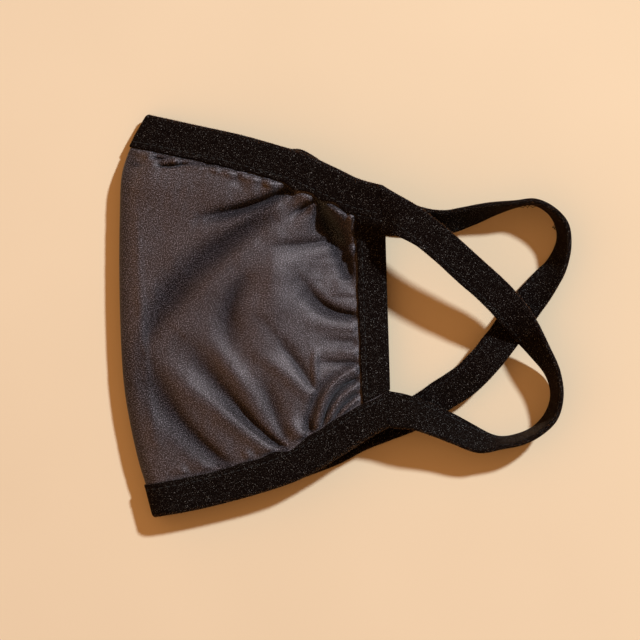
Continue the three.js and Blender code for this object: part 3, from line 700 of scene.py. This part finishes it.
def route(points, count):
    """Smooth curve through points: cubic pieces whose end slopes weigh the neighbours by the root
    of their distance, resampled at even lengths. Gives places, directions and shares."""
    p = np.concatenate([[2 * points[0] - points[1]], points, [2 * points[-1] - points[-2]]])
    gap = np.linalg.norm(np.diff(p, axis=0), axis=1) ** 0.5
    t = np.linspace(0, 1, 40, endpoint=False)[:, None]
    pieces, shares = [], []
    for i in range(1, len(p) - 2):
        a, b, c, e = p[i - 1:i + 3]
        g0, g1, g2 = gap[i - 1:i + 2]
        start = ((b - a) / g0 - (c - a) / (g0 + g1) + (c - b) / g1) * g1
        end = ((c - b) / g1 - (e - b) / (g1 + g2) + (e - c) / g2) * g1
        bend, twist = 3 * (c - b) - 2 * start - end, start + end - 2 * (c - b)
        pieces.append(b + t * (start + t * (bend + t * twist)))
        shares.append(i - 1 + t[:, 0])
    line = np.concatenate(pieces + [points[-1:]])
    share = np.concatenate(shares + [[len(points) - 1]])
    length = np.concatenate([[0], np.cumsum(np.linalg.norm(np.diff(line, axis=0), axis=1))])
    even = np.linspace(0, length[-1], count)
    place = np.stack([np.interp(even, length, line[:, k]) for k in range(3)], -1)
    return place, unit(np.gradient(place, axis=0)), np.interp(even, length, share), length[-1]


def loop_frames(table, far):
    """Middle line, direction, width direction and face direction of a loop's tape, all the way."""
    upper, lower = corner("top", far), corner("bottom", far)
    out, up, high = (np.asarray(table[k], float) for k in ("out", "up", "high"))
    knots = np.stack([HALF_WIDTH + out * LOOP_REACH, up * HALF_HEIGHT, high * LOOP_RISE], -1)
    points = np.concatenate([[upper[0]], knots, [lower[0]]])
    place, ahead, share, length = route(points, LOOP_STATIONS)
    leans = {"at": np.arange(len(points)), "lean": [0, *table["lean"], 0]}
    lean = np.radians(curve(leans, "lean", share))[:, None]
    outward = unit(np.stack([-ahead[:, 1], ahead[:, 0], 0 * ahead[:, 0]], -1))
    across = outward * np.cos(lean) + np.array([0, 0, 1]) * np.sin(lean)
    s = np.linspace(0, 1, LOOP_STATIONS)[:, None]
    half = EDGE_TAPE_WIDTH / 2
    start, finish = 1 - smoothstep(s, 0, LOOP_TURN_IN), smoothstep(s, 1 - LOOP_TURN_IN, 1)
    across = across + (upper[1] / half - across) * start
    across = across + (lower[1] / half - across) * finish
    face = -unit(np.cross(across, ahead))
    return place, ahead, across, face, length


def along_loop(at, length, *rows):
    """Rows of points or directions that stand evenly along a loop, read off at other places."""
    s = np.linspace(0, length, LOOP_STATIONS)
    return [np.stack([np.interp(at, s, row[:, k]) for k in range(3)], -1) for row in rows]


def ear_loop(table, far, material):
    """Tape folded on itself: a flat outline, round at the folded edge and with a groove between
    its two legs at the open edge, carried along the loop's route. The tape swells to the bound
    edge's thickness at both ends."""
    place, _, across, face, length = loop_frames(table, far)
    half, thick = EDGE_TAPE_WIDTH / 2, LOOP_THICKNESS / 2
    angle = np.linspace(np.pi / 2, -np.pi / 2, 9)
    bend = np.stack([half - thick + thick * np.cos(angle), thick * np.sin(angle)], -1)
    runs = np.linspace(-half + 0.3, half - thick, 16)[:-1]
    upper = np.stack([runs, np.full_like(runs, thick)], -1)
    lip = np.array(
        [[-half + 0.9, 0.06], [-half + 0.1, 0.14], [-half, 0.5 * thick], [-half + 0.08, 0.85 * thick]])
    top = np.concatenate([lip, upper])
    outline = np.concatenate([top, bend, top[::-1] * [1, -1]])
    a = np.tile(outline[:, 0], (LOOP_STATIONS, 1))
    s = np.repeat(np.linspace(0, length, LOOP_STATIONS)[:, None], len(outline), 1)
    if not far:
        a = np.where(a < 0, a * (1 + CORNER_SPREAD * np.exp(-((s / CORNER_LENGTH) ** 2))), a)
    swell = 1 + (BINDING_HALF / thick - 1) * np.exp(-np.minimum(s, length - s) / 3.5)
    n = outline[:, 1] * swell
    skin = np.abs(outline[:, 1]) > 0.9 * thick
    n = n + np.sign(n) * skin * dimples(s, -a, half - STITCH_INSET)
    waver = 0.12 * ruffle(s[:, 0], 15 + far)[:, None] * smoothstep(-a, half - 3, half)
    a = a - waver
    points = place[:, None] + across[:, None] * a[..., None] + face[:, None] * n[..., None]
    return tape_piece(half_name(far) + "_ear_loop", s, outline, points, True, material)


# Stitches
def thread_bits(name, place, along, off, material):
    """One short rounded bar of thread at each place: its radius rises and falls over five rings as
    the root of 1 minus the distance from the middle squared."""
    t = np.array([-1, -0.72, 0, 0.72, 1])
    r = THREAD_RADIUS * np.sqrt(np.maximum(1 - t**2, 0.02))
    run = np.repeat(t * STITCH_LENGTH / 2, len(BAR_TURN))
    round_it = [np.outer(r, np.cos(BAR_TURN)).ravel(), np.outer(r, np.sin(BAR_TURN)).ravel()]
    bar = np.stack([run, *round_it], -1)
    frames = np.stack([along, unit(np.cross(off, along)), off], 1)
    points = place[:, None] + np.einsum("pk,nkj->npj", bar, frames)
    new_piece(name, points, bar_faces(len(t), len(place)), material)


def stitches_on_edge(side, material):
    """Stitches on both faces of an edge binding, one pitch apart along it."""
    q = np.arange(-REACH + 1.6, REACH - 1.6, STITCH_PITCH)
    d = np.full_like(q, EDGE_MOUTH - STITCH_INSET)
    v = edge_share(side, q, d)
    v2 = edge_share(side, q + 0.5, d)
    place = calm(q, v)[0]
    along = unit(calm(q + 0.5, v2)[0] - place)
    off = calm_normal(q, v)
    raise_by = (BINDING_HALF - np.where(q < 0, THREAD_RADIUS, THREAD_SINK)) * squeeze(q)
    thread_bits(side + "_binding_stitches", place + off * raise_by[:, None], along, off, material)


def stitches_on_side(far, material):
    """Stitches on the outer face of a side binding, one pitch apart along it."""
    sign = -1 if far else 1
    q0 = np.full(1, sign * (REACH - SIDE_MOUTH + STITCH_INSET))
    low, high = (float(edge_share(s, q0, np.full(1, EDGE_MOUTH + 2))[0]) for s in ("bottom", "top"))
    length = float(calm(q0, np.full(1, high))[0][0, 1] - calm(q0, np.full(1, low))[0][0, 1])
    v = np.linspace(low, high, int(length / STITCH_PITCH))
    q = np.full_like(v, q0[0])
    place = calm(q, v)[0]
    along = unit(calm(q, v + 0.004)[0] - place)
    off = calm_normal(q, v)
    raise_by = BINDING_HALF - (THREAD_RADIUS if far else THREAD_SINK)
    name = half_name(far) + "_side_binding_stitches"
    thread_bits(name, place + off * raise_by, along, off, material)


def stitches_on_loop(table, far, material):
    """Stitches on both faces of an ear loop, along its open edge."""
    place, ahead, across, face, length = loop_frames(table, far)
    at = np.arange(4.5, length - 4.5, STITCH_PITCH)
    place, ahead, across, face = along_loop(at, length, place, ahead, across, face)
    ahead, across, face = unit(ahead), unit(across), unit(face)
    line = place - across * (EDGE_TAPE_WIDTH / 2 - STITCH_INSET)
    off = face * (LOOP_THICKNESS / 2 - THREAD_SINK)
    both = np.concatenate([line + off, line - off])
    directions = np.concatenate([ahead, ahead]), np.concatenate([face, -face])
    thread_bits(half_name(far) + "_ear_loop_stitches", both, *directions, material)


# Nap and loose threads
def nap(name, base, outward, along, material, seed):
    """Short fibres standing off the tape's edges, so that they look brushed: each is a thin
    three-sided spike from a base point outwards, strewn by a seeded spread."""
    rng = np.random.default_rng(seed)
    count = len(base)
    stray = rng.normal(0, 0.5, (count, 3))
    direction = unit(outward + 0.5 * along * rng.normal(0, 1, (count, 1)) + 0.35 * stray)
    length = rng.uniform(*FIBRE_LENGTHS, (count, 1))
    side = unit(np.cross(direction, along + 0.01))
    other = np.cross(direction, side)
    start = base - FIBRE_SINK * outward
    feet = [start + FIBRE_RADIUS * (side * np.cos(a) + other * np.sin(a)) for a in (0, 2.09, 4.19)]
    points = np.stack([*feet, start + direction * (length + FIBRE_SINK)], 1)
    points = points[points[..., 2].min(1) > FIBRE_FLOOR]
    faces = np.array([[0, 1, 3], [1, 2, 3], [2, 0, 3], [0, 2, 1]])
    faces = (faces[None] + 4 * np.arange(len(points))[:, None, None]).reshape(-1, 3)
    new_piece(name, points, faces, material, smooth=False)


def nap_on_edge(side, material, seed, per_mm=18):
    """Fibres round the bound edge of the top or bottom binding."""
    rng = np.random.default_rng(seed)
    count = int(2 * REACH * per_mm)
    q = rng.uniform(-REACH, REACH, count)
    phi = rng.uniform(-1.1, 1.3, count)
    d = BINDING_HALF - EDGE_INSET - BINDING_HALF * np.cos(phi)
    v = edge_share(side, q, d)
    place, off = calm(q, v)[0], calm_normal(q, v)
    inward = unit(calm(q, edge_share(side, q, d + 0.5))[0] - place)
    along = np.cross(off, inward)
    base = place + off * (BINDING_HALF * squeeze(q) * np.sin(phi))[:, None]
    outward = -inward * np.cos(phi)[:, None] + off * np.sin(phi)[:, None]
    nap(side + "_binding_nap", base, outward, along, material, seed)


def nap_on_loop(table, far, material, seed, per_mm=12):
    """Fibres along both edges of an ear loop."""
    rng = np.random.default_rng(seed)
    place, ahead, across, face, length = loop_frames(table, far)
    at = rng.uniform(0.5, length - 0.5, int(2 * length * per_mm))
    side = np.where(rng.uniform(0, 1, len(at)) < 0.5, -1.0, 1.0)[:, None]
    tilt = rng.uniform(-1, 1, (len(at), 1))
    place, ahead, across, face = along_loop(at, length, place, ahead, across, face)
    half, thick = EDGE_TAPE_WIDTH / 2 - LOOP_THICKNESS / 2, LOOP_THICKNESS / 2
    outward = unit(across * side * np.cos(tilt) + face * np.sin(tilt))
    base = place + across * side * half + outward * thick
    nap(half_name(far) + "_ear_loop_nap", base, outward, unit(ahead), material, seed)


def loose_threads(material):
    """Fine curled threads that stand off the inner edge of the far loop: thin tubes along half a
    sine wave out, pushed on and back along the loop by a whole one."""
    place, ahead, across, _, _ = loop_frames(FAR_LOOP, True)
    t = np.linspace(0, 1, 15)[:, None]
    points = []
    for start, end, out in CURLS:
        a, b = int(start * (LOOP_STATIONS - 1)), int(end * (LOOP_STATIONS - 1))
        inward = unit(np.array([ahead[a][1], -ahead[a][0], 0.0]))
        feet = [place[k] + inward * LOOP_THICKNESS / 2 - across[k] * 6 for k in (a, b)]
        line = feet[0] * (1 - t) + feet[1] * t
        line = line + inward * out * np.sin(np.pi * t) + ahead[a] * 0.5 * np.sin(2 * np.pi * t)
        direction = unit(np.gradient(line, axis=0))
        side = unit(np.cross(direction, [0.1, 0.2, 1.0]))
        other = np.cross(direction, side)
        ring = side[:, None] * np.cos(BAR_TURN)[:, None] + other[:, None] * np.sin(BAR_TURN)[:, None]
        points.append(line[:, None] + CURL_RADIUS * ring)
    faces = bar_faces(len(t), len(CURLS))
    new_piece("far_ear_loop_loose_threads", np.concatenate(points), faces, material)


# Finishes
def set_inputs(node, values):
    """A node's inputs set to constants by name."""
    for label, value in values.items():
        node.inputs[label].default_value = value


def new_material(name, base, rough):
    """A named material, its node tree and its main shader."""
    material = bpy.data.materials.new(name)
    material.use_nodes = True
    tree = material.node_tree
    shader = tree.nodes["Principled BSDF"]
    set_inputs(shader, {"Base Color": (*base, 1), "Roughness": rough})
    return material, tree, shader


def noise_node(tree, vector, scale, detail=4, rough=0.55):
    """Soft random field over places, as a value."""
    node = tree.nodes.new("ShaderNodeTexNoise")
    set_inputs(node, {"Scale": scale, "Detail": detail, "Roughness": rough})
    tree.links.new(vector, node.inputs["Vector"])
    return node.outputs["Fac"]


def ramp_node(tree, value, stops):
    """Colour that a value stands for: straight changes between stops of place and colour."""
    node = tree.nodes.new("ShaderNodeValToRGB")
    ramp = node.color_ramp
    while len(ramp.elements) < len(stops):
        ramp.elements.new(0.5)
    for element, (at, colour) in zip(ramp.elements, stops):
        element.position = at
        element.color = (*colour, 1)
    tree.links.new(value, node.inputs["Fac"])
    return node.outputs["Color"]


def bump_node(tree, height, strength, distance, below=None):
    """Normals of a finely uneven skin, on top of those of another one if it is given."""
    node = tree.nodes.new("ShaderNodeBump")
    set_inputs(node, {"Strength": strength, "Distance": distance})
    tree.links.new(height, node.inputs["Height"])
    if below is not None:
        tree.links.new(below, node.inputs["Normal"])
    return node.outputs["Normal"]


def value_of(tree, label):
    """Values that a mesh keeps at its points under a label."""
    node = tree.nodes.new("ShaderNodeAttribute")
    node.attribute_name = label
    return node.outputs["Fac"]


def own_places(tree):
    """Places in a piece's own frame."""
    return tree.nodes.new("ShaderNodeTexCoord").outputs["Object"]


def cloth_finish():
    """Charcoal satin knit: fine ribs and loops along the cloth's own map, a strong grain of lighter
    and darker yarn, a soft sheen, slow changes of tone, painted shade that darkens the colour in the
    creases and along the fold's rim, where the gloss is lowered too, and painted fill light that
    lightens and tints the colour in the shadowed pocket."""
    material, tree, shader = new_material("charcoal_satin_knit", (0.05, 0.045, 0.048), 0.5)
    uv = tree.nodes.new("ShaderNodeUVMap")
    uv.uv_map = "UVMap"
    grain = noise_node(tree, uv.outputs["UV"], 2250, 3, 0.75)
    tone = noise_node(tree, uv.outputs["UV"], 60, 3)
    colour = ramp_node(tree, grain, [
        (0.41, (0.002, 0.0017, 0.0019)), (0.48, (0.0098, 0.0085, 0.0093)),
        (0.55, (0.0305, 0.0262, 0.0295)), (0.62, (0.285, 0.249, 0.281)),
    ])
    slow = ramp_node(tree, tone, [(0.3, (0.9, 0.88, 0.89)), (0.7, (1.08, 1.06, 1.08))])
    hollow, pocket = value_of(tree, "hollow"), value_of(tree, "pocket")
    plain = (0, (1, 1, 1))
    # Painted shade: the colour is darkened in the creases and along the fold's rim, and the gloss is
    # lowered there.
    crease = ramp_node(tree, hollow, [plain, (1, (0.46, 0.42, 0.42))])
    # Painted fill light: in the shadowed pocket the colour is made lighter, greener and bluer.
    shade = ramp_node(tree, pocket, [plain, (1, (1.8, 2.6, 3))])
    shine = ramp_node(tree, hollow, [(0, (0.58, 0.58, 0.58)), (0.8, (0.08, 0.08, 0.08))])
    for part in (slow, crease, shade):
        mix = tree.nodes.new("ShaderNodeMix")
        mix.data_type = "RGBA"
        mix.blend_type = "MULTIPLY"
        set_inputs(mix, {"Factor": 1})
        tree.links.new(colour, mix.inputs["A"])
        tree.links.new(part, mix.inputs["B"])
        colour = mix.outputs["Result"]
    tree.links.new(colour, shader.inputs["Base Color"])
    tree.links.new(shine, shader.inputs["Specular IOR Level"])
    wave = tree.nodes.new("ShaderNodeTexWave")
    wave.bands_direction = "X"
    set_inputs(wave, {"Scale": 420, "Distortion": 1.4, "Detail": 1})
    tree.links.new(uv.outputs["UV"], wave.inputs["Vector"])
    ribs = bump_node(tree, wave.outputs["Fac"], 0.2, 0.00008)
    tree.links.new(bump_node(tree, grain, 0.55, 0.00022, ribs), shader.inputs["Normal"])
    sheen = {"Sheen Weight": 0.1, "Sheen Roughness": 0.4, "Sheen Tint": (0.9, 0.88, 0.95, 1)}
    set_inputs(shader, {"Specular Tint": (1, 0.76, 0.73, 1), **sheen})
    return material


def tape_finish():
    """Near-black brushed tape: short nap in the bump, and many small pale specks of lint, some
    places with more of them than others."""
    material, tree, shader = new_material("black_brushed_tape", (0.006, 0.005, 0.005), 0.95)
    place = own_places(tree)
    brushed = noise_node(tree, place, 1500, 3, 0.7)
    lint = noise_node(tree, place, 2900, 2, 0.6)
    specks = ramp_node(tree, lint, [
        (0.5, (0.0026, 0.0009, 0.0005)), (0.59, (0.0085, 0.0042, 0.003)),
        (0.66, (0.036, 0.03, 0.027)), (0.75, (0.36, 0.34, 0.33)),
    ])
    tree.links.new(specks, shader.inputs["Base Color"])
    tree.links.new(bump_node(tree, brushed, 0.9, 0.00035), shader.inputs["Normal"])
    sheen = {"Sheen Weight": 0.16, "Sheen Roughness": 0.22, "Sheen Tint": (0.4, 0.2, 0.1, 1)}
    set_inputs(shader, {"Specular IOR Level": 0.05, **sheen})
    return material


def thread_finish():
    """Black sewing thread: a soft gloss and a fine twist in the bump."""
    material, tree, shader = new_material("black_sewing_thread", (0.012, 0.011, 0.011), 0.8)
    place = own_places(tree)
    twist = noise_node(tree, place, 3500, 1)
    stops = [(0.35, (0.005, 0.0045, 0.0045)), (0.7, (0.03, 0.028, 0.028))]
    tone = ramp_node(tree, twist, stops)
    tree.links.new(tone, shader.inputs["Base Color"])
    tree.links.new(bump_node(tree, twist, 0.5, 0.0001), shader.inputs["Normal"])
    set_inputs(shader, {"Specular IOR Level": 0.25})
    return material


def painted_rim_light_fibres_finish():
    """Fibres of the nap, brown and far lighter than the tape: painted light, their colour standing for a
    rim lit through at the tape's edges.
    """
    material, tree, shader = new_material("nap_fibres_painted_rim_light", (0.05, 0.024, 0.011), 0.9)
    place = own_places(tree)
    shade = noise_node(tree, place, 700, 1)
    # Painted light: the brown tones stand for light shining through the fibres.
    tone = ramp_node(tree, shade, [(0.35, (0.06, 0.026, 0.01)), (0.7, (0.34, 0.16, 0.07))])
    tree.links.new(tone, shader.inputs["Base Color"])
    set_inputs(shader, {"Specular IOR Level": 0.1})
    return material


def floor_finish():
    """Smooth pale peach card with a very faint unevenness."""
    material, tree, shader = new_material("pale_peach_card", (0.87, 0.66, 0.46), 0.9)
    place = own_places(tree)
    cloud = noise_node(tree, place, 9, 2)
    tone = ramp_node(tree, cloud, [(0.3, (0.85, 0.645, 0.445)), (0.7, (0.88, 0.67, 0.465))])
    tree.links.new(tone, shader.inputs["Base Color"])
    set_inputs(shader, {"Specular IOR Level": 0.1})
    return material


# Floor, light and camera
def studio():
    """A level floor just under the mask, one round lamp from the upper right at 40 degrees, a warm
    room that glows more on the left, and a camera straight above, framed as the photo is."""
    size, level = 3.0, -0.0002
    mesh = bpy.data.meshes.new("floor")
    corners = [(size * x, size * y, level) for x, y in ((-1, -1), (1, -1), (1, 1), (-1, 1))]
    mesh.from_pydata(corners, [], [(0, 1, 2, 3)])
    mesh.materials.append(floor_finish())
    linked("floor", mesh)
    distance, elevation, azimuth = 3.6, np.radians(40), np.radians(45)
    lamp = bpy.data.lights.new("key_light", "AREA")
    lamp.shape = "DISK"
    lamp.size = 0.28
    lamp.energy = 150
    lamp.color = (0.83, 1.0, 1.1)
    key = linked("key_light", lamp)
    flat = np.cos(elevation)
    away = np.array([flat * np.cos(azimuth), flat * np.sin(azimuth), np.sin(elevation)])
    key.location = distance * away
    key.rotation_euler = (np.pi / 2 - elevation, 0, np.pi / 2 + azimuth)
    world = bpy.data.worlds.new("warm_room")
    world.use_nodes = True
    tree = world.node_tree
    split = tree.nodes.new("ShaderNodeSeparateXYZ")
    half_range = tree.nodes.new("ShaderNodeMapping")
    set_inputs(half_range, {"Location": (0.5, 0.5, 0.5), "Scale": (0.5, 0.5, 0.5)})
    tree.links.new(tree.nodes.new("ShaderNodeTexCoord").outputs["Generated"], half_range.inputs["Vector"])
    tree.links.new(half_range.outputs["Vector"], split.inputs[0])
    stops = [(0.15, (0.7, 0.365, 0.135)), (0.85, (0.15, 0.083, 0.04))]
    glow = ramp_node(tree, split.outputs["X"], stops)
    tree.links.new(glow, tree.nodes["Background"].inputs["Color"])
    bpy.context.scene.world = world
    bpy.context.scene.view_settings.view_transform = "Standard"
    lens = bpy.data.cameras.new("camera")
    above, field, mask_level = 1.2, 0.256, 0.008
    lens.sensor_width = 36
    lens.lens = 36 * above / field
    camera = linked("camera", lens)
    camera.location = (-0.0102, -0.0017, mask_level + above)
    bpy.context.scene.camera = camera


studio()
knit, tape, thread, fibre = cloth_finish(), tape_finish(), thread_finish(), painted_rim_light_fibres_finish()
panel = face_panel(knit)
bindings = [edge_binding("top", tape), edge_binding("bottom", tape)]
bindings += [side_binding(False, tape), side_binding(True, tape)]
loops = [ear_loop(NEAR_LOOP, False, tape), ear_loop(FAR_LOOP, True, tape)]
for side in ("top", "bottom"):
    stitches_on_edge(side, thread)
for table, far in ((NEAR_LOOP, False), (FAR_LOOP, True)):
    stitches_on_side(far, thread)
    stitches_on_loop(table, far, thread)
    nap_on_loop(table, far, fibre, 31 + far)
for seed, side in enumerate(("top", "bottom")):
    nap_on_edge(side, fibre, 41 + seed)
loose_threads(thread)
